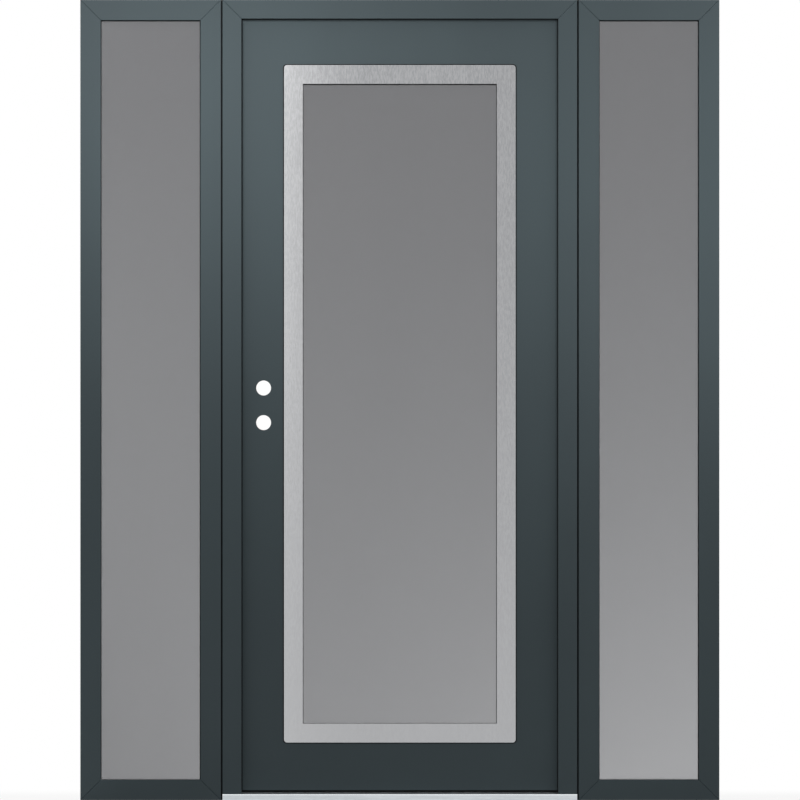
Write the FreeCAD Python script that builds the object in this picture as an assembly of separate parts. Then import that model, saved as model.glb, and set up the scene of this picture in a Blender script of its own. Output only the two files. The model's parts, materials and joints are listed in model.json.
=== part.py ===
"""Entrance door with a sidelight on each side: a glazed steel leaf on butt hinges in a mitred steel frame,
on an aluminium threshold. Millimetres. +X is to the right seen from outdoors, +Y points indoors, +Z is up.
The origin is the middle of the threshold's underside, at mid depth of the frame.
"""
import FreeCAD, Part
import math
import os

Vector = FreeCAD.Vector

# Whole unit
unit_height = 2032.0
frame_depth = 80.0
sidelight_width = 357.0
door_unit_width = 900.0
mull_joint = 4.0
mull_seal_setback = 8.0

# Frame bars, folded from sheet into closed tubes
tube_wall = 1.5
jamb_face = 48.0
jamb_rear = 29.0
face_round = 1.0
mitre_groove = 2.0
mitre_web = 0.4

# Sidelight bars and beads
sidelight_face = 52.0
glass_lip = 14.0
glass_rebate = 14.0
bead_depth = 18.0
bead_joint = 0.4
bead_round = 4.0

# Sealed glass units
pane = 6.0
pane_edge_gap = 3.0
spacer_inset = 2.0
spacer_width = 8.0

# Leaf
leaf_thickness = 60.0
leaf_gap = 5.0
leaf_bottom = 25.4
skin = 1.2
fold_round = 2.0
skin_joint = 4.0
lock_bevel = 3.5

# Lite trim, outdoors and indoors alike
lite_side_margin = 121.5
lite_top_margin = 131.0
lite_bottom_margin = 120.6
trim_face = 48.5
trim_plate = 4.0
trim_lip = 2.5
trim_corner = 8.0
trim_chamfer = 0.6
trim_cover = 24.0
glass_recess = 8.0

# Lock bores: clear through the leaf, each met by a latch bore from the leaf's edge
bore_diameter = 38.1
backset = 69.9
upper_bore_height = 1046.5
bore_spacing = 88.0
latch_bore_diameter = 25.4
strike_width = 20.0
strike_height = 32.0
strike_corner = 3.0

# Threshold and saddle
threshold_height = 16.0
threshold_nose = 20.0
nose_round = 1.5
flute_count = 3
flute_pitch = 5.0
flute_width = 2.0
flute_depth = 1.0
saddle_height = 20.0
saddle_slope = 9.0
saddle_fit = 0.3

# Seals
seal_space = 6.0
seal_width = 9.0
seal_base = 2.5
seal_clearance = 0.5
seal_show = 2.5
bulb_roundness = 0.9
sweep_base = 1.6
sweep_fin = 2.5
sweep_fins = 5
sweep_inset = 6.0

# Butt hinges
hinge_height = 102.0
hinge_plate = 3.0
hinge_plate_width = 38.0
hinge_fit = 0.2
hinge_backing = 3.0
backing_margin = 10.0
barrel_diameter = 14.0
barrel_stand_off = 8.0
pin_diameter = 7.0
pin_clearance = 0.05
pin_tip = 2.5
knuckles = 5
knuckle_gap = 0.4
top_hinge_drop = 178.0
bottom_hinge_rise = 254.0

# Planes that the pieces share
front = -frame_depth / 2
back = frame_depth / 2
door_half = door_unit_width / 2
stop_edge = door_half - jamb_face
rebate_edge = door_half - jamb_rear
leaf_half = rebate_edge - leaf_gap
leaf_front = back - leaf_thickness
leaf_back = back
leaf_middle = (leaf_front + leaf_back) / 2
leaf_top = unit_height - jamb_rear - leaf_gap
stop_back = leaf_front - seal_space
glass_depth = leaf_thickness - 2 * glass_recess
bevel_run = leaf_thickness * math.tan(math.radians(lock_bevel))
trim_half = leaf_half - lite_side_margin
trim_bottom = leaf_bottom + lite_bottom_margin
trim_top = leaf_top - lite_top_margin
cutout_half = trim_half - trim_cover
cutout_bottom = trim_bottom + trim_cover
cutout_top = trim_top - trim_cover
bore_x = -leaf_half + backset
bore_heights = (upper_bore_height, upper_bore_height - bore_spacing)
hinge_x = (rebate_edge + leaf_half) / 2
hinge_y = back + barrel_stand_off

nodes = {}


def rounded_wire(corners, place):
    """Closed wire through ((a, b), radius) corners; place turns a flat point into a point in space."""
    bends = []
    for index, (corner, radius) in enumerate(corners):
        here = Vector(*corner, 0)
        if radius == 0:
            bends.append((here, None, here))
            continue
        before = (Vector(*corners[index - 1][0], 0) - here).normalize()
        after = (Vector(*corners[(index + 1) % len(corners)][0], 0) - here).normalize()
        half_angle = before.getAngle(after) / 2
        reach = radius / math.tan(half_angle)
        inward = (before + after).normalize()
        middle = here + inward * (radius / math.sin(half_angle) - radius)
        bends.append((here + before * reach, middle, here + after * reach))
    edges = []
    for index, (start, middle, end) in enumerate(bends):
        if middle is not None:
            edges.append(Part.Arc(place(*start[:2]), place(*middle[:2]), place(*end[:2])).toShape())
        following = bends[(index + 1) % len(bends)][0]
        edges.append(Part.makeLine(place(*end[:2]), place(*following[:2])))
    return Part.Wire(edges)


def prism(corners, place, run):
    """Solid of a rounded outline, extruded along run."""
    return Part.Face(rounded_wire(corners, place)).extrude(run)


def sharp(points):
    return [(point, 0) for point in points]


def box(x0, x1, y0, y1, z0, z1):
    return Part.makeBox(x1 - x0, y1 - y0, z1 - z0, Vector(x0, y0, z0))


def panel(x0, x1, z0, z1, y0, y1, radius=0):
    """Upright plate with rounded corners, from y0 to y1."""
    corners = [((x0, z0), radius), ((x1, z0), radius), ((x1, z1), radius), ((x0, z1), radius)]
    return prism(corners, lambda x, z: Vector(x, y0, z), Vector(0, y1 - y0, 0))


def ring(x0, x1, z0, z1, width, y0, y1):
    """Upright rectangular ring, width wide all round."""
    hole = panel(x0 + width, x1 - width, z0 + width, z1 - width, y0, y1)
    return panel(x0, x1, z0, z1, y0, y1).cut(hole)


def bar_section(face, rear, step, inset):
    """L section of a bar, face wide outdoors of the step and rear wide indoors of it, drawn in by inset."""
    radius = 0 if inset else face_round
    return [
        ((inset, front + inset), radius),
        ((face - inset, front + inset), radius),
        ((face - inset, step - inset), 0),
        ((rear - inset, step - inset), 0),
        ((rear - inset, back - inset), radius),
        ((inset, back - inset), radius),
    ]


def straight_bar(section, side, x0, x1, z0, z1):
    """Bar along one side of a rectangle; section gives (distance in from the outer edge, y) corners."""
    places = {
        "left": lambda inward, y: Vector(x0 + inward, y, z0),
        "right": lambda inward, y: Vector(x1 - inward, y, z0),
        "top": lambda inward, y: Vector(x0, y, z1 - inward),
        "bottom": lambda inward, y: Vector(x0, y, z0 + inward),
    }
    run = Vector(0, 0, z1 - z0) if side in ("left", "right") else Vector(x1 - x0, 0, 0)
    return prism(section, places[side], run)


def mitre_grooves(x, z, to_x, to_z, length):
    """V grooves along one mitre, on the outdoor and indoor faces, that leave a web of the tube's wall."""
    along = Vector(to_x, 0, to_z).normalize()
    across = Vector(along.z, 0, -along.x) * (mitre_groove / 2)
    deep = Vector(0, tube_wall - mitre_web, 0)
    overrun = 2 * face_round
    grooves = []
    for y in (front, back):
        start = Vector(x, y, z) - along * overrun
        diamond = [start + across, start + deep, start - across, start - deep, start + across]
        face = Part.Face(Part.makePolygon(diamond))
        grooves.append(face.extrude(along * (length + 2 * overrun)))
    return grooves


def mitred_tubes(face, rear, step, x0, x1, z0, z1, sides):
    """Tubes of a rectangular frame, mitred where two of them meet and square at an open foot."""
    section = bar_section(face, rear, step, 0)
    hollow = bar_section(face, rear, step, tube_wall)
    foot = face if "bottom" in sides else 0
    outlines = {
        "left": [(x0, z0), (x0, z1), (x0 + face, z1 - face), (x0 + face, z0 + foot)],
        "right": [(x1, z0), (x1, z1), (x1 - face, z1 - face), (x1 - face, z0 + foot)],
        "top": [(x0, z1), (x1, z1), (x1 - face, z1 - face), (x0 + face, z1 - face)],
        "bottom": [(x0, z0), (x1, z0), (x1 - face, z0 + face), (x0 + face, z0 + face)],
    }
    length = face * math.sqrt(2)
    grooves = mitre_grooves(x0, z1, 1, -1, length) + mitre_grooves(x1, z1, -1, -1, length)
    if foot:
        grooves += mitre_grooves(x0, z0, 1, 1, length) + mitre_grooves(x1, z0, -1, 1, length)
    tubes = {}
    for side in sides:
        outline = prism(sharp(outlines[side]), lambda x, z: Vector(x, front, z), Vector(0, frame_depth, 0))
        bar = straight_bar(section, side, x0, x1, z0, z1).common(outline)
        tubes[side] = bar.cut([straight_bar(hollow, side, x0, x1, z0, z1)] + grooves)
    return tubes


def glass_unit(prefix, x0, x1, z0, z1, y0):
    """Two panes and the spacer between them, filling glass_depth from y0."""
    y1 = y0 + glass_depth
    nodes[prefix + "_outdoor_pane"] = box(x0, x1, y0, y0 + pane, z0, z1)
    nodes[prefix + "_indoor_pane"] = box(x0, x1, y1 - pane, y1, z0, z1)
    inset = spacer_inset
    nodes[prefix + "_spacer"] = ring(
        x0 + inset, x1 - inset, z0 + inset, z1 - inset, spacer_width, y0 + pane, y1 - pane)


def sidelight(prefix, x0, x1, wall_side, door_side):
    """Fixed glazed frame: four mitred bars, a sealed glass unit against the lip, and beads indoors."""
    rebate = sidelight_face - glass_rebate
    lip_back = front + glass_lip
    sides = ("left", "right", "top", "bottom")
    tubes = mitred_tubes(sidelight_face, rebate, lip_back, x0, x1, 0, unit_height, sides)
    nodes[prefix + "_wall_stile"] = tubes[wall_side]
    nodes[prefix + "_door_stile"] = tubes[door_side]
    nodes[prefix + "_top_rail"] = tubes["top"]
    nodes[prefix + "_bottom_rail"] = tubes["bottom"]

    edge = rebate + pane_edge_gap
    glass_unit(prefix, x0 + edge, x1 - edge, edge, unit_height - edge, lip_back)

    bead_front = lip_back + glass_depth
    bead_back = bead_front + bead_depth
    bead = [
        ((0, bead_front), 0),
        ((glass_rebate, bead_front), 0),
        ((glass_rebate, bead_back), bead_round),
        ((0, bead_back), 0),
    ]
    left, right = x0 + rebate, x1 - rebate
    bottom, top = rebate, unit_height - rebate
    upright_bottom = bottom + glass_rebate + bead_joint
    upright_top = top - glass_rebate - bead_joint
    nodes[prefix + "_beads"] = Part.makeCompound([
        straight_bar(bead, "top", left, right, bottom, top),
        straight_bar(bead, "bottom", left, right, bottom, top),
        straight_bar(bead, "left", left, right, upright_bottom, upright_top),
        straight_bar(bead, "right", left, right, upright_bottom, upright_top),
    ])


def mull_seal(x0, x1):
    """Black strip in the joint between a sidelight and the door frame, set back from both faces."""
    return box(x0, x1, front + mull_seal_setback, back - mull_seal_setback, 0, unit_height)


def threshold():
    """Aluminium bar under the door frame, with a rounded nose and flutes outdoors of the frame."""
    nose = front - threshold_nose
    top = threshold_height
    corners = [((nose, 0), 0), ((nose, top), nose_round)]
    first = front - threshold_nose / 2 - flute_pitch * (flute_count - 1) / 2
    for number in range(flute_count):
        middle = first + number * flute_pitch
        corners += sharp([
            (middle - flute_width / 2, top),
            (middle - flute_width / 2, top - flute_depth),
            (middle + flute_width / 2, top - flute_depth),
            (middle + flute_width / 2, top),
        ])
    corners += sharp([(back, top), (back, 0)])
    return prism(corners, lambda y, z: Vector(-door_half, y, z), Vector(door_unit_width, 0, 0))


def saddle():
    """Raised crest under the leaf, between the jambs, sloping down towards the outdoors."""
    half = rebate_edge - saddle_fit
    corners = [
        ((stop_back + seal_clearance, threshold_height), 0),
        ((stop_back + seal_clearance + saddle_slope, saddle_height), face_round),
        ((back, saddle_height), face_round),
        ((back, threshold_height), 0),
    ]
    return prism(corners, lambda y, z: Vector(-half, y, z), Vector(2 * half, 0, 0))


def stop_seal(place, run):
    """Bulb seal on the back of a stop, showing past its edge: a flat base and a half round for the leaf."""
    half = seal_width / 2
    bulb_front = stop_back + seal_base
    bulb_back = leaf_front - seal_clearance
    bulb = bulb_back - bulb_front
    corners = [
        ((-half, stop_back), 0),
        ((half, stop_back), 0),
        ((half, bulb_front), 0),
        ((bulb, bulb_front), 0),
        ((bulb, bulb_back), bulb * bulb_roundness),
        ((-bulb, bulb_back), bulb * bulb_roundness),
        ((-bulb, bulb_front), 0),
        ((-half, bulb_front), 0),
    ]
    return prism(corners, place, run)


def door_frame():
    """Two jambs and a head with a stop outdoors of the leaf, mitred at the top, with the seals."""
    sides = ("left", "right", "top")
    tubes = mitred_tubes(
        jamb_face, jamb_rear, stop_back, -door_half, door_half, threshold_height, unit_height, sides)
    strikes = [strike_slot(height) for height in bore_heights]
    nodes["lock_jamb"] = tubes["left"].cut(strikes)
    backings = [hinge_backing_plate(height) for height in hinge_heights()]
    mortises = [
        hinge_plate_block(height, rebate_edge, rebate_edge + hinge_plate, hinge_fit)
        for height in hinge_heights()]
    nodes["hinge_jamb"] = tubes["right"].fuse(backings).cut(mortises).removeSplitter()
    nodes["door_head"] = tubes["top"]

    seal_line = stop_edge - seal_show + seal_width / 2
    head_line = unit_height - jamb_face - seal_show + seal_width / 2
    seal_foot = saddle_height + seal_clearance
    upright = Vector(0, 0, head_line + seal_width / 2 - seal_foot)
    nodes["lock_side_seal"] = stop_seal(lambda a, y: Vector(-seal_line + a, y, seal_foot), upright)
    nodes["hinge_side_seal"] = stop_seal(lambda a, y: Vector(seal_line + a, y, seal_foot), upright)
    head_half = seal_line - seal_width / 2
    nodes["head_seal"] = stop_seal(
        lambda a, y: Vector(-head_half, y, head_line + a), Vector(2 * head_half, 0, 0))


def strike_slot(height):
    """Slot through the lock jamb's rebate wall for the bolt of the lock at that height."""
    y0, y1 = leaf_middle - strike_width / 2, leaf_middle + strike_width / 2
    z0, z1 = height - strike_height / 2, height + strike_height / 2
    corners = [((y, z), strike_corner) for y, z in ((y0, z0), (y1, z0), (y1, z1), (y0, z1))]
    return prism(
        corners, lambda y, z: Vector(-rebate_edge - 2 * tube_wall, y, z), Vector(3 * tube_wall, 0, 0))


def leaf_body(inset):
    """Leaf outline drawn in by inset, with its lock edge bevelled so that it clears the jamb as it swings."""
    def lock_edge(y):
        return -leaf_half + bevel_run * (leaf_back - y) / leaf_thickness + inset

    y0, y1 = leaf_front + inset, leaf_back - inset
    radius = 0 if inset else fold_round
    corners = [
        ((lock_edge(y0), y0), radius),
        ((leaf_half - inset, y0), radius),
        ((leaf_half - inset, y1), radius),
        ((lock_edge(y1), y1), radius),
    ]
    height = leaf_top - leaf_bottom - 2 * inset
    return prism(corners, lambda x, y: Vector(x, y, leaf_bottom + inset), Vector(0, 0, height))


def leaf():
    """Two folded skins with an open joint round the edge, over stiles and rails round the lite."""
    whole = leaf_body(0)
    core = leaf_body(skin)
    reach = leaf_half + leaf_gap
    bores = []
    for height in bore_heights:
        through = Vector(bore_x, leaf_front - leaf_gap, height)
        bores.append(Part.makeCylinder(
            bore_diameter / 2, leaf_thickness + 2 * leaf_gap, through, Vector(0, 1, 0)))
        edge = Vector(-leaf_half - leaf_gap, leaf_middle, height)
        bores.append(Part.makeCylinder(
            latch_bore_diameter / 2, leaf_gap + backset, edge, Vector(1, 0, 0)))
    cutout = box(-cutout_half, cutout_half, front, 2 * back, cutout_bottom, cutout_top)
    mortises = [
        hinge_plate_block(height, leaf_half - hinge_plate, leaf_half, hinge_fit)
        for height in hinge_heights()]
    shell = whole.cut([core, cutout] + bores + mortises)

    joint_front = leaf_middle - skin_joint / 2
    joint_back = leaf_middle + skin_joint / 2
    nodes["outdoor_skin"] = shell.common(box(-reach, reach, leaf_front, joint_front, 0, unit_height))
    nodes["indoor_skin"] = shell.common(box(-reach, reach, joint_back, leaf_back, 0, unit_height))

    lock_side = box(-reach, -cutout_half, front, back, 0, unit_height)
    hinge_side = box(cutout_half, reach, front, back, 0, unit_height)
    above = box(-cutout_half, cutout_half, front, back, cutout_top, unit_height)
    below = box(-cutout_half, cutout_half, front, back, 0, cutout_bottom)
    nodes["lock_stile"] = core.common(lock_side).cut(bores)
    nodes["hinge_stile"] = core.common(hinge_side).cut(mortises)
    nodes["leaf_top_rail"] = core.common(above)
    nodes["leaf_bottom_rail"] = core.common(below)


def lite():
    """Sealed glass unit in the leaf's cut-out, held between the lips of the two trims."""
    gap = pane_edge_gap
    glass_unit(
        "lite", -cutout_half + gap, cutout_half - gap, cutout_bottom + gap, cutout_top - gap,
        leaf_front + glass_recess)
    nodes["outdoor_trim"] = trim(leaf_front, -1)
    nodes["indoor_trim"] = trim(leaf_back, 1)


def trim(face, outward):
    """Flat sheet frame on the leaf's face, with a lip turned in along its inner edge to the glass."""
    edge = trim_half - trim_face
    bottom, top = trim_bottom + trim_face, trim_top - trim_face
    outer = face + outward * trim_plate
    glass = face - outward * glass_recess
    sheet = panel(-trim_half, trim_half, trim_bottom, trim_top, face, outer, trim_corner)
    lip = panel(-edge - trim_lip, edge + trim_lip, bottom - trim_lip, top + trim_lip, face, glass)
    opening = panel(-edge, edge, bottom, top, outer, glass)
    solid = sheet.fuse(lip).cut(opening).removeSplitter()
    rims = [edge for edge in solid.Edges if all(abs(v.Y - outer) < 1e-6 for v in edge.Vertexes)]
    return solid.makeChamfer(trim_chamfer, rims)


def sweep():
    """Finned rubber strip under the leaf, just over the saddle."""
    y0, y1 = leaf_front + sweep_inset, leaf_back - sweep_inset
    half = leaf_half - bevel_run - sweep_inset
    base = leaf_bottom - sweep_base
    foot = saddle_height + seal_clearance
    pitch = (y1 - y0 - sweep_fin) / (sweep_fins - 1)
    corners = [(y1, leaf_bottom), (y0, leaf_bottom)]
    for number in range(sweep_fins):
        fin = y0 + number * pitch
        corners += [(fin, base), (fin, foot), (fin + sweep_fin, foot), (fin + sweep_fin, base)]
    corners.remove((y0, base))
    corners.remove((y0 + (sweep_fins - 1) * pitch + sweep_fin, base))
    return prism(sharp(corners), lambda y, z: Vector(-half, y, z), Vector(2 * half, 0, 0))


def hinge_heights():
    """Lower ends of the upper, middle and lower hinges."""
    upper = leaf_top - top_hinge_drop - hinge_height
    lower = bottom_hinge_rise
    return (upper, (upper + lower) / 2, lower)


def hinge_plate_block(z0, x0, x1, fit):
    """Plate of one hinge half, flush indoors; with a fit, the recess that takes it."""
    return box(x0, x1, back - hinge_plate_width - fit, back, z0 - fit, z0 + hinge_height + fit)


def hinge_backing_plate(z0):
    """Steel behind the hinge recess, inside the hinge jamb's tube."""
    x1 = rebate_edge + hinge_plate + hinge_backing
    y0 = back - hinge_plate_width - backing_margin
    foot, top = z0 - backing_margin, z0 + hinge_height + backing_margin
    return box(rebate_edge, x1, y0, back - tube_wall, foot, top)


def hinge_half(z0, x0, x1, own_knuckles):
    """One plate with the knuckles it carries round the hinge axis."""
    pitch = hinge_height / knuckles
    parts = [hinge_plate_block(z0, x0, x1, 0)]
    for number in own_knuckles:
        foot = z0 + number * pitch
        top = foot + pitch
        if number > 0:
            foot += knuckle_gap / 2
        if number < knuckles - 1:
            top -= knuckle_gap / 2
        parts.append(box(x0, x1, back, hinge_y, foot, top))
        parts.append(Part.makeCylinder(barrel_diameter / 2, top - foot, Vector(hinge_x, hinge_y, foot)))
    return parts[0].fuse(parts[1:])


def hinges():
    """Butt hinges with five knuckles: the frame halves carry the pin, the leaf halves turn on it."""
    for name, z0 in zip(("upper", "middle", "lower"), hinge_heights()):
        pin = Part.makeCylinder(
            pin_diameter / 2, hinge_height + 2 * pin_tip, Vector(hinge_x, hinge_y, z0 - pin_tip))
        bore = Part.makeCylinder(
            pin_diameter / 2 + pin_clearance, hinge_height, Vector(hinge_x, hinge_y, z0))
        even = range(0, knuckles, 2)
        odd = range(1, knuckles, 2)
        frame_half = hinge_half(z0, rebate_edge, rebate_edge + hinge_plate, even).fuse(pin)
        nodes[name + "_hinge_frame_half"] = frame_half.removeSplitter()
        leaf_plate = hinge_half(z0, leaf_half - hinge_plate, leaf_half, odd)
        nodes[name + "_hinge_leaf_half"] = leaf_plate.cut(bore).removeSplitter()


sidelight_edge = door_half + mull_joint
sidelight("left_sidelight", -sidelight_edge - sidelight_width, -sidelight_edge, "left", "right")
sidelight("right_sidelight", sidelight_edge, sidelight_edge + sidelight_width, "right", "left")
nodes["left_mull_seal"] = mull_seal(-sidelight_edge, -door_half)
nodes["right_mull_seal"] = mull_seal(door_half, sidelight_edge)
door_frame()
nodes["threshold"] = threshold()
nodes["saddle"] = saddle()
leaf()
lite()
nodes["door_sweep"] = sweep()
hinges()

os.makedirs("parts", exist_ok=True)
for name, shape in nodes.items():
    print(name, len(shape.Solids), shape.isValid())
    shape.exportStep("parts/" + name + ".step")
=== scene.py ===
import json
import math
from itertools import cycle
import bpy
import bmesh
from mathutils import Color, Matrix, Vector

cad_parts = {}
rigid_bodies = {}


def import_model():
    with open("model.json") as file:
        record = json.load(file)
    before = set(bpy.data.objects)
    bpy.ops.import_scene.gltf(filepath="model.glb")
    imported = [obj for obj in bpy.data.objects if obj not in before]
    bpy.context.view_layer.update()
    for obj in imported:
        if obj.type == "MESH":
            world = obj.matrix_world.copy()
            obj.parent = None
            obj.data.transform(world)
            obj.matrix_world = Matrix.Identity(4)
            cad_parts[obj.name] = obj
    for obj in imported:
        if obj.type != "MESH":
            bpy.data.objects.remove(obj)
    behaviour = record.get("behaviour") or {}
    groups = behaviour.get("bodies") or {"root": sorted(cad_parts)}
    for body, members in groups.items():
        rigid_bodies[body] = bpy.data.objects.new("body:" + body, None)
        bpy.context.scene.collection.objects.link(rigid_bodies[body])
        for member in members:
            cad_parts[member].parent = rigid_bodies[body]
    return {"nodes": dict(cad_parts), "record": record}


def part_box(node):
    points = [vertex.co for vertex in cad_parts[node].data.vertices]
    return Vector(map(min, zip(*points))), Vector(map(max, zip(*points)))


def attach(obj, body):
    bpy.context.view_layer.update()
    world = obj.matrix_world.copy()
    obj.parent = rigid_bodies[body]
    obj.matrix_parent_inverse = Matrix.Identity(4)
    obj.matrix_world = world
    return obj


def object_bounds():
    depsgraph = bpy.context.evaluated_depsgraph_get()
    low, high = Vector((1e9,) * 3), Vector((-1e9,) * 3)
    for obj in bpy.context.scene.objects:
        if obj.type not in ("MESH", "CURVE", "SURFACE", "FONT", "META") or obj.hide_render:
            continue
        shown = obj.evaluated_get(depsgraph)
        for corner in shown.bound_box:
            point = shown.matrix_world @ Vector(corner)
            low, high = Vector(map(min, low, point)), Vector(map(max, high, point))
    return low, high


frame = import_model()
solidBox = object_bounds()
nodes = frame["nodes"]
print("frame loaded:", len(nodes), "nodes")


# one socket of a node tree; arithmetic on it adds Math nodes
class Wire:
    def __init__(self, build, socket):
        self.build = build
        self.socket = socket

    def sibling(self, output):
        # another output of the same node
        return Wire(self.build, self.socket.node.outputs[output])

    def math(self, operation, first, second):
        return self.build.make("ShaderNodeMath", {"operation": operation}, {0: first, 1: second})

    def __add__(self, other):
        return self.math("ADD", self, other)

    def __radd__(self, other):
        return self.math("ADD", other, self)

    def __sub__(self, other):
        return self.math("SUBTRACT", self, other)

    def __rsub__(self, other):
        return self.math("SUBTRACT", other, self)

    def __mul__(self, other):
        return self.math("MULTIPLY", self, other)

    def __rmul__(self, other):
        return self.math("MULTIPLY", other, self)


# makes any node of a tree from its type, its settings and the values or links of its sockets
class TreeBuild:
    def __init__(self, tree):
        self.tree = tree

    def make(self, kind, settings=None, sockets=None, output=0):
        node = self.tree.nodes.new(kind)
        for key, value in (settings or {}).items():
            setattr(node, key, value)
        for key, value in (sockets or {}).items():
            if isinstance(value, Wire):
                self.tree.links.new(value.socket, node.inputs[key])
            else:
                node.inputs[key].default_value = value
        return Wire(self, node.outputs[output]) if len(node.outputs) else None


# a material's tree, with the nodes that the finishes share
class Finish(TreeBuild):
    def __init__(self, name):
        self.material = bpy.data.materials.new(name)
        self.material.use_nodes = True
        super().__init__(self.material.node_tree)
        self.tree.nodes.clear()
        self.place = self.make("ShaderNodeTexCoord", output="Object")

    def noise(self, scale, detail=2.0, roughness=0.5, shift=(0, 0, 0)):
        # scale is repeats per metre along X, Y and Z
        spot = self.make("ShaderNodeMapping", sockets={
            "Vector": self.place, "Location": shift, "Scale": scale})
        return self.make("ShaderNodeTexNoise", sockets={
            "Vector": spot, "Scale": 1.0, "Detail": detail, "Roughness": roughness})

    def spread(self, value, span, bottom=0.0, top=1.0, kind="SMOOTHSTEP"):
        # bottom where the value is at the span's first end, top at its other end
        low, high = span
        return self.make("ShaderNodeMapRange", {"interpolation_type": kind}, {
            "Value": value, "From Min": low, "From Max": high, "To Min": bottom, "To Max": top})

    def blend(self, share, first, second):
        # a Mix node's sockets for colours are 0, 6 and 7, and 2 is its output
        return self.make("ShaderNodeMix", {"data_type": "RGBA"}, {0: share, 6: first, 7: second}, 2)

    def axis(self, name):
        return self.make("ShaderNodeSeparateXYZ", sockets={"Vector": self.place}, output=name)

    def outside(self, name, low, high):
        # how far a point lies beyond low and high on one axis; inside it is negative
        off = self.make("ShaderNodeMath", {"operation": "ABSOLUTE"}, {0: self.axis(name) - (low + high) / 2})
        return off - (high - low) / 2

    def larger(self, first, second):
        return self.make("ShaderNodeMath", {"operation": "MAXIMUM"}, {0: first, 1: second})

    def bump(self, height, relief, normal=None):
        # relief is the depth in metres and the strength
        distance, strength = relief
        sockets = {"Height": height, "Distance": distance, "Strength": strength}
        if normal:
            sockets["Normal"] = normal
        return self.make("ShaderNodeBump", sockets=sockets)

    def surface(self, sockets):
        shader = self.make("ShaderNodeBsdfPrincipled", sockets=sockets)
        self.make("ShaderNodeOutputMaterial", sockets={"Surface": shader})
        return self.material


def tone(red, green, blue):
    # display colour, 0 to 255, as the linear colour that shaders take
    shown = Color((red / 255, green / 255, blue / 255))
    return (*shown.from_srgb_to_scene_linear(), 1.0)


# finishes; a span is where a spread begins and ends, a bump is its depth in metres and its strength

paint = {
    "deep": tone(78, 89, 93), "pale": tone(81, 93, 97), "colour": tone(80, 91, 95),
    "cloud": {"scale": (3.0, 3.0, 1.6), "detail": 3.0}, "cloudSpan": (0.35, 0.65),
    "speck": {"scale": (240, 240, 240), "roughness": 0.7, "shift": (0.2, 0.5, 0.1)},
    "speckSpan": (0.35, 0.7), "speckShare": 0.6,
    "peel": {"scale": (190, 190, 190), "detail": 1.0}, "peelBump": (0.0004, 0.25),
    "grain": {"scale": (620, 620, 620), "roughness": 0.6}, "grainBump": (0.00012, 0.35),
    "rough": 0.42, "grainRough": 0.16, "gloss": 0.12,
}


def slatePaint():
    coat = Finish("slatePaint")
    cloud = coat.noise(**paint["cloud"])
    speck = coat.noise(**paint["speck"])
    peel = coat.noise(**paint["peel"])
    grain = coat.noise(**paint["grain"])
    base = coat.blend(coat.spread(cloud, paint["cloudSpan"]), paint["deep"], paint["pale"])
    specks = coat.spread(speck, paint["speckSpan"], top=paint["speckShare"])
    flow = coat.bump(peel, paint["peelBump"])
    return coat.surface({
        "Base Color": coat.blend(specks, base, paint["colour"]),
        "Roughness": paint["rough"] + paint["grainRough"] * grain,
        "Specular IOR Level": paint["gloss"],
        "Normal": coat.bump(grain, paint["grainBump"], flow),
    })


steel = {
    "deep": (0.3, 0.305, 0.314, 1), "pale": (0.565, 0.57, 0.58, 1),
    "stroke": {"scale": (390, 390, 84), "detail": 3.0, "roughness": 0.6}, "strokeShare": 0.65,
    "hair": {"scale": (1900, 1900, 45), "roughness": 0.6, "shift": (0.3, 0.1, 0.7)}, "hairShare": 0.2,
    "mottle": {"scale": (26, 26, 9)}, "mottleShare": 0.15,
    "streakSpan": (0.38, 0.62), "streakDepth": 0.045, "topDepth": 0.21,
    "height": 1.9, "plain": 0.139, "foot": 0.32,
    "lockSideSpan": (-0.29, -0.05), "paintedSheenSpan": (0.3, 1.52), "paintedFootSheen": 0.18, "paintedTopSheen": 0.66,
    "edge": 0.0026, "paintedEdgeShine": 0.24,
    "rough": 0.15, "streakRough": 0.08, "hairBump": (0.00005, 0.3),
}


def brushedStainless():
    sheet = Finish("brushedStainless")
    stroke = sheet.noise(**steel["stroke"])
    hair = sheet.noise(**steel["hair"])
    mottle = sheet.noise(**steel["mottle"])
    streak = steel["strokeShare"] * stroke + steel["hairShare"] * hair + steel["mottleShare"] * mottle
    # a painted sheen, palest at the upper corner of the lock side, and painted light that makes the steel
    # paler towards the foot; the streaks deepen upwards
    up = sheet.axis("Z") * (1 / steel["height"])
    near = sheet.spread(sheet.axis("X"), steel["lockSideSpan"], 1.0, 0.0, "LINEAR")
    paintedSheen = sheet.spread(sheet.axis("Z"), steel["paintedSheenSpan"], steel["paintedFootSheen"], steel["paintedTopSheen"])
    # painted light: the steel is paler towards the foot
    plain = steel["plain"] + steel["foot"] * (1.0 - up)
    depth = steel["streakDepth"] + steel["topDepth"] * up
    grain = depth * sheet.spread(streak, steel["streakSpan"], -0.5, 0.5)
    # the outer edge is eased, and a painted highlight runs along it
    low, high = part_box("outdoor_trim")
    out = sheet.larger(sheet.outside("X", low.x, high.x), sheet.outside("Z", low.z, high.z))
    paintedEdgeHighlight = sheet.spread(out, (-steel["edge"], 0.0), top=steel["paintedEdgeShine"])
    level = plain + near * near * paintedSheen + paintedEdgeHighlight + grain
    return sheet.surface({
        "Base Color": sheet.blend(level, steel["deep"], steel["pale"]),
        "Metallic": 1.0,
        "Roughness": steel["rough"] + steel["streakRough"] * streak,
        "Normal": sheet.bump(hair, steel["hairBump"]),
    })


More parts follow.
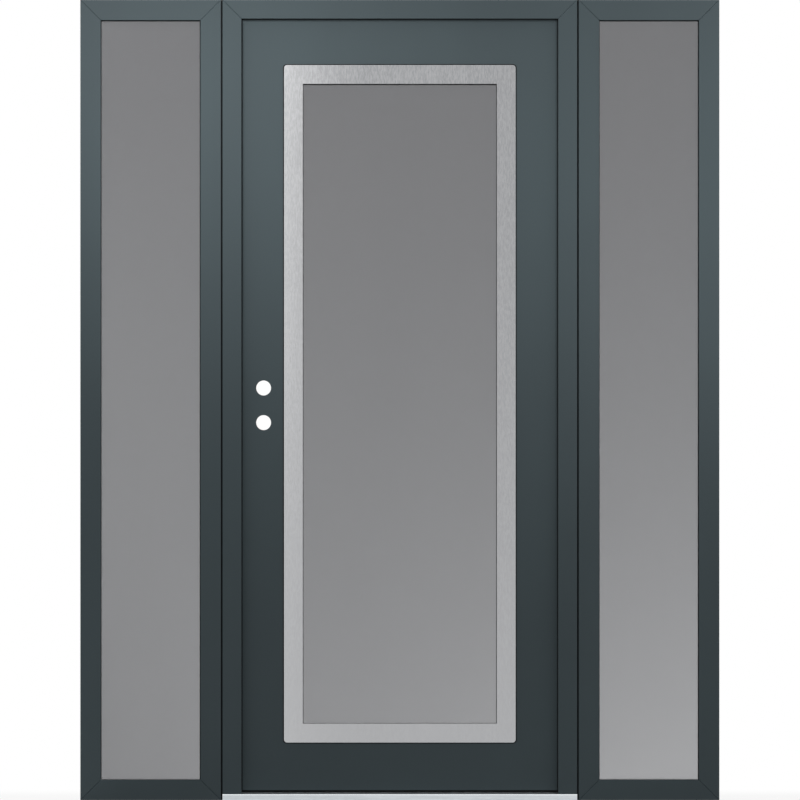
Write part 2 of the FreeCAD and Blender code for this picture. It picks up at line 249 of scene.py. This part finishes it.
glass = {
    "paintedShadeGrey": (0.385, 0.387, 0.395, 1), "paintedLightGrey": (0.60, 0.602, 0.61, 1), "index": 1.48,
    "etch": {"scale": (1500, 1500, 1500), "roughness": 0.6},
    "cloud": {"scale": (7.0, 7.0, 1.2), "detail": 3.0}, "cloudShare": 0.06, "cloudMean": 0.5,
    "height": 2.0, "down": 0.45, "foot": 0.29, "side": 0.48, "wing": 0.7, "wingSpan": (-0.75, 0.0),
    "etched": {"rough": 0.3, "etchRough": 0.12, "etchBump": (0.00004, 0.48)},
    "polished": {"rough": 0.03, "etchRough": 0.02, "etchBump": (0.00004, 0.08)},
}


def tintedGlass(name, rough, etchRough, etchBump):
    pane = Finish(name)
    etch = pane.noise(**glass["etch"])
    cloud = pane.noise(**glass["cloud"])
    # painted light: paler towards the foot, most at the hinge side, and half way down at the lock side
    down = 1.0 - pane.axis("Z") * (1 / glass["height"])
    wing = pane.spread(pane.axis("X"), glass["wingSpan"], glass["wing"], 0.0)
    level = glass["down"] * down + (glass["foot"] + glass["side"] * pane.axis("X")) * (down * down)
    level = level + wing * (down * (1.0 - down)) + glass["cloudShare"] * (cloud - glass["cloudMean"])
    return pane.surface({
        "Base Color": pane.blend(level, glass["paintedShadeGrey"], glass["paintedLightGrey"]),
        "Roughness": rough + etchRough * etch,
        "IOR": glass["index"],
        "Transmission Weight": 1.0,
        "Normal": pane.bump(etch, etchBump),
    })


# edgeSpan is below the threshold's top, noseSpan behind its nose
sill = {
    "deep": (0.60, 0.64, 0.665, 1), "pale": (0.74, 0.79, 0.82, 1), "highlightTone": (0.94, 0.985, 1.0, 1),
    "drawn": {"scale": (6, 900, 900), "roughness": 0.6}, "drawnShare": 0.7, "drawnBump": (0.00005, 0.3),
    "scuff": {"scale": (55, 160, 160), "detail": 4.0, "roughness": 0.7}, "scuffShare": 0.3,
    "dullSpan": (0.35, 0.65), "edgeSpan": (0.0029, 0.0022), "noseSpan": (0.003, 0.007),
    "highlightShare": 0.75, "scuffHighlight": 0.5, "metal": 0.85, "rubMetal": 0.15,
    "rough": 0.3, "scuffRough": 0.2, "rubPolish": 0.2,
}


def sillAluminium():
    bar = Finish("sillAluminium")
    drawn = bar.noise(**sill["drawn"])
    scuff = bar.noise(**sill["scuff"])
    wear = sill["drawnShare"] * drawn + sill["scuffShare"] * scuff
    dull = bar.blend(bar.spread(wear, sill["dullSpan"]), sill["deep"], sill["pale"])
    # a painted highlight along the nose's upper edge, broken up by the scuffs; the band is also more
    # metallic and smoother
    low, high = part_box("threshold")
    edge = bar.spread(bar.axis("Z"), [high.z - below for below in sill["edgeSpan"]])
    nose = bar.spread(bar.axis("Y"), [low.y + behind for behind in sill["noseSpan"]], 1.0, 0.0)
    highlightBand = edge * nose
    return bar.surface({
        "Base Color": bar.blend(highlightBand * (sill["highlightShare"] + sill["scuffHighlight"] * scuff), dull, sill["highlightTone"]),
        "Metallic": sill["metal"] + sill["rubMetal"] * highlightBand,
        "Roughness": sill["rough"] + sill["scuffRough"] * scuff - sill["rubPolish"] * highlightBand,
        "Normal": bar.bump(drawn, sill["drawnBump"]),
    })


rubber = {
    "deep": (0.004, 0.0045, 0.005, 1), "pale": (0.009, 0.01, 0.011, 1),
    "bloom": {"scale": (40, 40, 14), "detail": 3.0},
    "grain": {"scale": (900, 900, 900), "roughness": 0.6}, "grainBump": (0.0001, 0.3),
    "rough": 0.6, "grainRough": 0.2, "gloss": 0.2,
}


def blackRubber():
    strip = Finish("blackRubber")
    bloom = strip.noise(**rubber["bloom"])
    grain = strip.noise(**rubber["grain"])
    return strip.surface({
        "Base Color": strip.blend(bloom, rubber["deep"], rubber["pale"]),
        "Roughness": rubber["rough"] + rubber["grainRough"] * grain,
        "Specular IOR Level": rubber["gloss"],
        "Normal": strip.bump(grain, rubber["grainBump"]),
    })


hinge = {
    "deep": (0.36, 0.36, 0.37, 1), "pale": (0.56, 0.56, 0.575, 1),
    "satin": {"scale": (700, 700, 60), "detail": 3.0, "roughness": 0.6}, "satinShare": 0.6,
    "cloud": {"scale": (60, 60, 60)}, "cloudShare": 0.4,
    "rough": 0.24, "satinRough": 0.2, "satinBump": (0.00005, 0.3),
}


def hingeSteel():
    plate = Finish("hingeSteel")
    satin = plate.noise(**hinge["satin"])
    cloud = plate.noise(**hinge["cloud"])
    level = hinge["satinShare"] * satin + hinge["cloudShare"] * cloud
    return plate.surface({
        "Base Color": plate.blend(level, hinge["deep"], hinge["pale"]),
        "Metallic": 1.0,
        "Roughness": hinge["rough"] + hinge["satinRough"] * satin,
        "Normal": plate.bump(satin, hinge["satinBump"]),
    })


timber = {
    "deep": tone(176, 134, 92), "pale": tone(205, 170, 128), "fibreTone": tone(150, 108, 70),
    "ring": {"scale": (70, 70, 3.2), "detail": 4.0, "roughness": 0.6}, "ringSpan": (0.35, 0.65),
    "fibre": {"scale": (900, 900, 26), "roughness": 0.6}, "fibreShare": 0.5, "fibreBump": (0.0002, 0.4),
    "rough": 0.65, "fibreRough": 0.2,
}


def timberCore():
    core = Finish("timberCore")
    ring = core.noise(**timber["ring"])
    fibre = core.noise(**timber["fibre"])
    rings = core.blend(core.spread(ring, timber["ringSpan"]), timber["deep"], timber["pale"])
    return core.surface({
        "Base Color": core.blend(timber["fibreShare"] * fibre, rings, timber["fibreTone"]),
        "Roughness": timber["rough"] + timber["fibreRough"] * fibre,
        "Normal": core.bump(fibre, timber["fibreBump"]),
    })


spacer = {
    "deep": (0.34, 0.34, 0.345, 1), "pale": (0.46, 0.46, 0.465, 1), "metal": 0.9,
    "drawn": {"scale": (400, 400, 400), "roughness": 0.6}, "rough": 0.38, "drawnRough": 0.2,
}


def dullSpacer():
    bar = Finish("dullSpacer")
    drawn = bar.noise(**spacer["drawn"])
    return bar.surface({
        "Base Color": bar.blend(drawn, spacer["deep"], spacer["pale"]),
        "Metallic": spacer["metal"],
        "Roughness": spacer["rough"] + spacer["drawnRough"] * drawn,
    })


slotFinish = {
    "slate_paint": slatePaint(),
    "brushed_stainless": brushedStainless(),
    "frosted_glass": tintedGlass("etchedGlass", **glass["etched"]),
    "threshold_aluminium": sillAluminium(),
    "spacer_aluminium": dullSpacer(),
    "black_rubber": blackRubber(),
    "hinge_steel": hingeSteel(),
    "leaf_core": timberCore(),
}
polishedGlass = tintedGlass("polishedGlass", **glass["polished"])  # outdoors; the indoor panes are etched

for part in frame["record"]["subparts"]:
    name = part["node"]
    outdoorGlass = name.endswith("_outdoor_pane")
    nodes[name].data.materials.clear()
    nodes[name].data.materials.append(polishedGlass if outdoorGlass else slotFinish[part["material_slot"]])
print("finishes set:", len(slotFinish))


# Geometry Nodes: a tree with named inputs, run once and kept as a plain mesh
class ShapeTree(TreeBuild):
    def __init__(self, name, inputs):
        super().__init__(bpy.data.node_groups.new(name, "GeometryNodeTree"))
        face = self.tree.interface
        face.new_socket("Geometry", in_out="INPUT", socket_type="NodeSocketGeometry")
        self.ids = {}
        for key, kind in inputs.items():
            socket = face.new_socket(key, in_out="INPUT", socket_type="NodeSocket" + kind)
            self.ids[key] = socket.identifier
        face.new_socket("Geometry", in_out="OUTPUT", socket_type="NodeSocketGeometry")
        self.entry = self.make("NodeGroupInput")

    def given(self, key):
        return self.entry.sibling(key)

    def close(self, shape):
        solid = self.make("GeometryNodeRealizeInstances", sockets={"Geometry": shape})
        coated = self.make("GeometryNodeSetMaterial", sockets={
            "Geometry": solid, "Material": self.given("Finish")})
        self.make("NodeGroupOutput", sockets={"Geometry": coated})

    def run(self, name, seedMesh, values):
        carrier = bpy.data.objects.new(name + "Carrier", seedMesh)
        bpy.context.scene.collection.objects.link(carrier)
        modifier = carrier.modifiers.new("shape", "NODES")
        modifier.node_group = self.tree
        for key, value in values.items():
            modifier[self.ids[key]] = value
        graph = bpy.context.evaluated_depsgraph_get()
        mesh = bpy.data.meshes.new_from_object(carrier.evaluated_get(graph))
        carrier.modifiers.remove(modifier)
        bpy.data.objects.remove(carrier)
        mesh.name = name
        piece = bpy.data.objects.new(name, mesh)
        bpy.context.scene.collection.objects.link(piece)
        return piece


def pointMesh(name, points):
    mesh = bpy.data.meshes.new(name)
    mesh.from_pydata(points, [], [])
    return mesh


# countersunk screws with a cross recess; the head's axis is +Z and z = 0 is the face it sits in
screw = {"radius": 0.0042, "proud": 0.00025, "sink": 0.0012, "rim": 0.00035, "sides": 20,
         "armLong": 0.0024, "armHalf": 0.00055, "depth": 0.0011, "floorShare": 0.6}


def screwHead():
    work = bmesh.new()
    top = screw["proud"]

    def circle(radius, height):
        turns = [2 * math.pi * step / screw["sides"] for step in range(screw["sides"])]
        return [work.verts.new((radius * math.cos(turn), radius * math.sin(turn), height)) for turn in turns]

    def cross(share, height):
        long = screw["armLong"] * share
        half = screw["armHalf"] * share
        quarter = [(long, -half), (long, half), (half, half)]
        ends = []
        for turn in range(4):
            cos = round(math.cos(turn * math.pi / 2))
            sin = round(math.sin(turn * math.pi / 2))
            ends += [work.verts.new((x * cos - y * sin, x * sin + y * cos, height)) for x, y in quarter]
        return ends

    def wall(lower, upper):
        count = len(lower)
        for step in range(count):
            following = (step + 1) % count
            work.faces.new((lower[step], lower[following], upper[following], upper[step]))

    base = circle(screw["radius"], -screw["sink"])
    shoulder = circle(screw["radius"], top - screw["rim"])
    crown = circle(screw["radius"] - screw["rim"], top)
    mouth = cross(1.0, top)
    floor = cross(screw["floorShare"], top - screw["depth"])
    work.faces.new(list(reversed(base)))
    wall(base, shoulder)
    wall(shoulder, crown)
    wall(list(reversed(floor)), list(reversed(mouth)))
    work.faces.new(floor)
    ring = [work.edges.get((crown[step], crown[step - 1])) for step in range(len(crown))]
    ring += [work.edges.get((mouth[step], mouth[step - 1])) for step in range(len(mouth))]
    bmesh.ops.triangle_fill(work, edges=ring, use_beauty=True)
    bmesh.ops.recalc_face_normals(work, faces=work.faces)
    mesh = bpy.data.meshes.new("screwHead")
    work.to_mesh(mesh)
    work.free()
    head = bpy.data.objects.new("screwHead", mesh)
    bpy.context.scene.collection.objects.link(head)
    return head


def screwTree():
    tree = ShapeTree("screwsOnPoints", {
        "Head": "Object", "Facing": "Rotation", "Size": "Float", "Seed": "Int", "Finish": "Material"})
    head = tree.make("GeometryNodeObjectInfo", sockets={"Object": tree.given("Head")}, output="Geometry")
    # a Random Value node's sockets for a float are 2 and 3, and 1 is its output
    turn = tree.make("FunctionNodeRandomValue", {"data_type": "FLOAT"},
                     {2: 0.0, 3: math.pi / 2, "Seed": tree.given("Seed")}, 1)
    spin = tree.make("FunctionNodeAxisAngleToRotation", sockets={"Axis": (0, 0, 1), "Angle": turn})
    facing = tree.make("FunctionNodeRotateRotation", {"rotation_space": "LOCAL"},
                       {"Rotation": tree.given("Facing"), "Rotate By": spin})
    placed = tree.make("GeometryNodeInstanceOnPoints", sockets={
        "Points": tree.given("Geometry"), "Instance": head, "Rotation": facing, "Scale": tree.given("Size")})
    tree.close(placed)
    return tree


# rows are shares of a plate's height; towards is the side of the gap that a body's plates are on
hingeScrews = {"rows": (0.14, 0.38, 0.62, 0.86), "columns": (0.010, 0.024), "height": 0.102, "gap": 0.005,
               "towards": {"frame": 1, "leaf": -1}, "seed": {"frame": 3, "leaf": 8}, "size": 1.0}


def hingeScrewPoints(body):
    # four screws in a zigzag on each plate
    points = []
    for place in ("upper", "middle", "lower"):
        low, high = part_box(place + "_hinge_" + body + "_half")
        face = (low.x + high.x) / 2 + hingeScrews["towards"][body] * hingeScrews["gap"] / 2
        foot = (low.z + high.z) / 2 - hingeScrews["height"] / 2
        for row, column in zip(hingeScrews["rows"], cycle(hingeScrews["columns"])):
            points.append((face, low.y + column, foot + row * hingeScrews["height"]))
    return points


head = screwHead()
screws = screwTree()
for body, towards in hingeScrews["towards"].items():
    points = hingeScrewPoints(body)
    piece = screws.run(body + "_hinge_screws", pointMesh(body + "ScrewPoints", points), {
        "Head": head, "Facing": (0, -towards * math.pi / 2, 0), "Size": hingeScrews["size"],
        "Seed": hingeScrews["seed"][body], "Finish": slotFinish["hinge_steel"]})
    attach(piece, body)
    print("hinge screws on", body, len(points))
bpy.data.objects.remove(head)


# black gaskets: a narrow line round each trim, and round the glass at the trims and the sidelights' bars;
# shows is the width that shows at the left, right, head and foot, and the lines also stand in for shade
# along these edges, so their unequal widths are painted shade: round the trim widest at the left and foot,
# round the glass widest at the head and almost hidden at the foot
gasket = {"radius": 0.0012, "sides": 8, "cornerSteps": 6, "trimCorner": 0.008, "glassCorner": 0.002,
          "trimFace": 0.0485, "barFace": 0.052, "skinRise": 0.0004,
          "trimShows": (0.0023, 0.0018, 0.0018, 0.0021),
          "liteShows": (0.0009, 0.0012, 0.0022, 0.0002),
          "sidelightShows": (0.0011, 0.0021, 0.0023, 0.0003)}


def gasketTree():
    tree = ShapeTree("gasketRings", {
        "Width": "Float", "Height": "Float", "Corner": "Float", "Radius": "Float", "Finish": "Material"})
    outline = tree.make("GeometryNodeCurvePrimitiveQuadrilateral", sockets={
        "Width": tree.given("Width"), "Height": tree.given("Height")})
    rounded = tree.make("GeometryNodeFilletCurve", {"mode": "POLY"}, {
        "Curve": outline, "Count": gasket["cornerSteps"], "Radius": tree.given("Corner")})
    profile = tree.make("GeometryNodeCurvePrimitiveCircle", sockets={
        "Resolution": gasket["sides"], "Radius": tree.given("Radius")})
    tube = tree.make("GeometryNodeCurveToMesh", sockets={"Curve": rounded, "Profile Curve": profile})
    upright = tree.make("GeometryNodeTransform", sockets={
        "Geometry": tube, "Rotation": (math.pi / 2, 0, 0)})
    placed = tree.make("GeometryNodeInstanceOnPoints", sockets={
        "Points": tree.given("Geometry"), "Instance": upright})
    tree.close(placed)
    return tree


gaskets = gasketTree()


def gasketRings(name, body, boxes, faces, corner, grow):
    # rings in the X-Z plane, one for each box and each of its faces
    left, right, above, below = grow  # what the sides of a ring stand out from its box by
    points = []
    for low, high in boxes:
        across = (low.x + high.x + right - left) / 2
        points += [(across, face, (low.z + high.z + above - below) / 2) for face in faces]
    low, high = boxes[0]
    piece = gaskets.run(name, pointMesh(name + "Points", points), {
        "Width": high.x - low.x + left + right, "Height": high.z - low.z + above + below,
        "Corner": corner, "Radius": gasket["radius"], "Finish": slotFinish["black_rubber"]})
    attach(piece, body)
    print(name, "made:", len(points), "rings")


def paneFaces(prefix):
    off = gasket["radius"]
    return (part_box(prefix + "_outdoor_pane")[0].y - off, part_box(prefix + "_indoor_pane")[1].y + off)


def skinFaces():
    off = gasket["skinRise"]
    return (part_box("outdoor_skin")[0].y - off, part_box("indoor_skin")[1].y + off)


def sidelightBox(side):
    low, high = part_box(side + "_sidelight_top_rail")
    return Vector((low.x, low.y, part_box(side + "_sidelight_bottom_rail")[0].z)), high


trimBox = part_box("outdoor_trim")
gasketRings("trim_gaskets", "leaf", [trimBox], skinFaces(), gasket["trimCorner"],
            [show - gasket["radius"] for show in gasket["trimShows"]])
gasketRings("lite_gaskets", "leaf", [trimBox], paneFaces("lite"), gasket["glassCorner"],
            [gasket["radius"] - gasket["trimFace"] - show for show in gasket["liteShows"]])
gasketRings("sidelight_gaskets", "frame", [sidelightBox("left"), sidelightBox("right")],
            paneFaces("left_sidelight"), gasket["glassCorner"],
            [gasket["radius"] - gasket["barFace"] - show for show in gasket["sidelightShows"]])


# floor, world, lamps and camera

studio = {"floorWide": 9.0, "floorDeep": 6.8, "matte": (0.85, 0.85, 0.85, 1), "white": (1, 1, 1, 1),
          "pale": 0.86, "fadeSpan": (0.35, 1.3), "ambient": 0.415}


def paleMix(build, share, plain, white):
    # camera, glossy and transmission rays see the white shader in the share that is given
    rays = build.make("ShaderNodeLightPath", output="Is Camera Ray")
    seen = rays + rays.sibling("Is Glossy Ray") + rays.sibling("Is Transmission Ray")
    factor = build.make("ShaderNodeMath", {"operation": "MULTIPLY", "use_clamp": True}, {0: seen, 1: share})
    return build.make("ShaderNodeMixShader", sockets={0: factor, 1: plain, 2: white})


def studioFloor():
    wide = studio["floorWide"] / 2
    deep = studio["floorDeep"] / 2
    corners = [(-wide, -deep, 0), (wide, -deep, 0), (wide, deep, 0), (-wide, deep, 0)]
    mesh = bpy.data.meshes.new("studioFloor")
    mesh.from_pydata(corners, [], [(0, 1, 2, 3)])
    floor = bpy.data.objects.new("studioFloor", mesh)
    bpy.context.scene.collection.objects.link(floor)
    build = Finish("paleFloor")
    matte = build.make("ShaderNodeBsdfDiffuse", sockets={"Color": studio["matte"]})
    glow = build.make("ShaderNodeEmission", sockets={"Color": studio["white"], "Strength": 1.0})
    # the shadow shows near the door, and the floor turns white before its edge
    away = build.larger(build.outside("X", solidBox[0][0], solidBox[1][0]), build.outside("Y", 0.0, 0.0))
    share = build.spread(away, studio["fadeSpan"], studio["pale"], 1.0)
    mixed = paleMix(build, share, matte, glow)
    build.make("ShaderNodeOutputMaterial", sockets={"Surface": mixed})
    mesh.materials.append(build.material)


def studioWorld():
    world = bpy.data.worlds.new("studioWorld")
    bpy.context.scene.world = world
    world.use_nodes = True
    build = TreeBuild(world.node_tree)
    build.tree.nodes.clear()
    dim = build.make("ShaderNodeBackground", sockets={
        "Color": studio["white"], "Strength": studio["ambient"]})
    white = build.make("ShaderNodeBackground", sockets={"Color": studio["white"], "Strength": 1.0})
    mixed = paleMix(build, 1.0, dim, white)
    build.make("ShaderNodeOutputWorld", sockets={"Surface": mixed})


lamps = {
    "lockSideLamp": {"place": (-0.92, -2.4, 2.7), "aim": (-0.48, 0, 1.75), "size": (1.35, 0.54),
                     "power": 3.04, "spread": 36.8},
    "hingeSideLamp": {"place": (1.54, -2.4, 2.62), "aim": (0.96, 0, 1.67), "size": (1.03, 1.35),
                      "power": 2.26, "spread": 25.9},
    "indoorLamp": {"place": (-1.6, 2.6, 3.2), "aim": (0, 0, 0.9), "size": (2.4, 1.6),
                   "power": 60, "spread": 180},
}


def lamp(name, place, aim, size, power, spread):
    light = bpy.data.lights.new(name, "AREA")
    light.shape = "RECTANGLE"
    light.size, light.size_y = size
    light.energy = power
    light.spread = math.radians(spread)
    holder = bpy.data.objects.new(name, light)
    holder.location = place
    holder.rotation_euler = (Vector(aim) - Vector(place)).to_track_quat("-Z", "Y").to_euler()
    bpy.context.scene.collection.objects.link(holder)


# a long lens from far away; seen is the width in view at the door's face, farPlane in distances to it
view = {"lens": 800.0, "sensor": 36.0, "seen": 2.0305, "side": 0.0004, "farPlane": 4}


def camera():
    low, high = solidBox
    data = bpy.data.cameras.new("camera")
    data.lens = view["lens"]
    data.sensor_width = view["sensor"]
    away = view["lens"] * view["seen"] / view["sensor"]
    data.clip_end = view["farPlane"] * away
    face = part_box("door_head")[0].y
    holder = bpy.data.objects.new("camera", data)
    holder.location = (view["side"], face - away, (low[2] + high[2]) / 2)
    holder.rotation_euler = (math.pi / 2, 0, 0)
    bpy.context.scene.collection.objects.link(holder)
    bpy.context.scene.camera = holder


studioFloor()
studioWorld()
for name, facts in lamps.items():
    lamp(name, **facts)
camera()
bpy.context.scene.view_settings.view_transform = "Standard"
print("floor, world, lamps and camera set")
